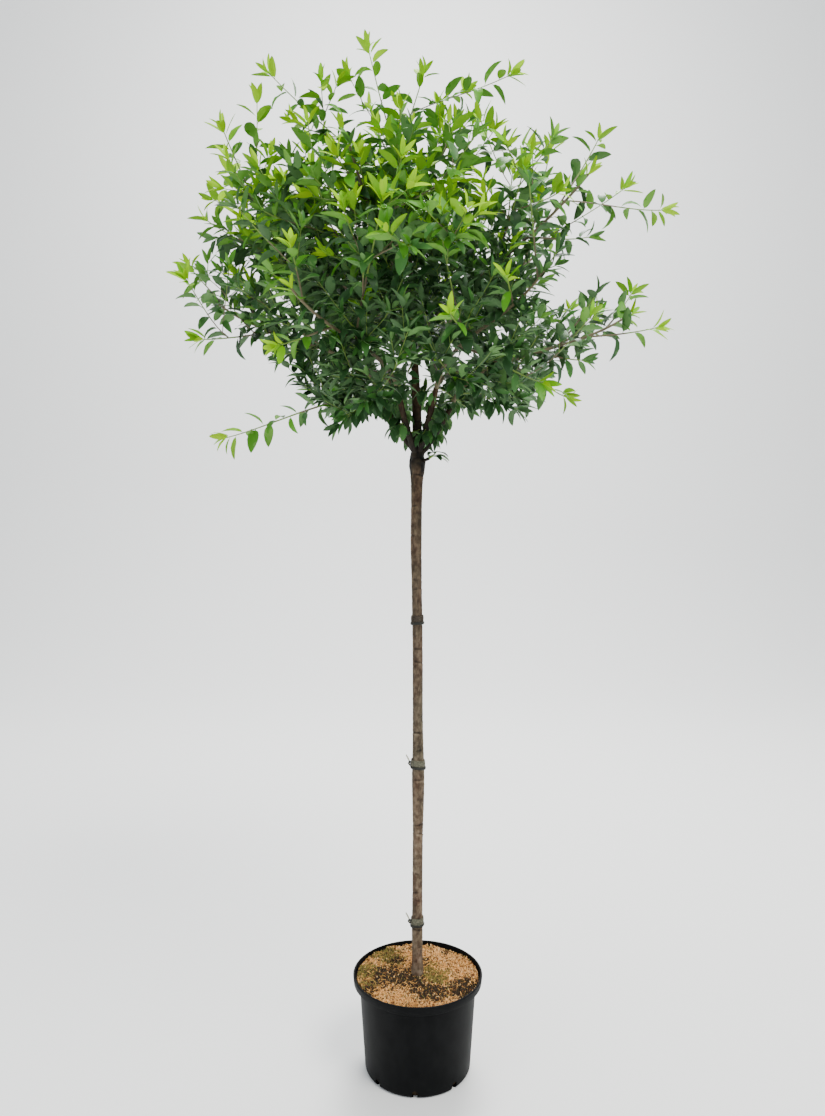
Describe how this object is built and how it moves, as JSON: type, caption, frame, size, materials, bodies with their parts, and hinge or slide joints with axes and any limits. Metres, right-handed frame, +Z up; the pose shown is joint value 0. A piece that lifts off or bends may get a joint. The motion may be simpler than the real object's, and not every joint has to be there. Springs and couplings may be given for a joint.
{
  "type": "potted standard tree with a loose round crown",
  "caption": "Standard tree in a nursery pot: a clear slender trunk with soft ties under a loose round crown of leafy shoots.",
  "frame": {"origin": "centre of the pot's flat underside, on the pot's axis", "axes": "+Z up along the trunk, +X to the right for someone facing the front, +Y away from them"},
  "size_m": [1.11, 1.0382, 2.3621],
  "materials": {
    "pot": "moulded black, satin",
    "mulch": "damp coir mulch with moss",
    "bark": "thin smooth bark with rings and lenticels",
    "tie": "soft dull band",
    "foliage": "thin glossy leaves on green twigs"
  },
  "bodies": {
    "root": {"pot": "pot", "root_ball": "mulch", "trunk": "bark", "tie_low": "tie", "tie_middle": "tie", "tie_high": "tie", "bough_right": "bark", "bough_back_right": "bark", "bough_back_left": "bark", "bough_left": "bark", "bough_front_left": "bark", "bough_front_right": "bark", "bough_stub": "bark", "foliage_low_right": "foliage", "foliage_low_back_right": "foliage", "foliage_low_back_left": "foliage", "foliage_low_left": "foliage", "foliage_low_front_left": "foliage", "foliage_low_front_right": "foliage", "foliage_high_right_back": "foliage", "foliage_high_back": "foliage", "foliage_high_left": "foliage", "foliage_high_front": "foliage", "foliage_high_right_front": "foliage", "foliage_top": "foliage", "foliage_sprout": "foliage"}
  },
  "joints": []
}
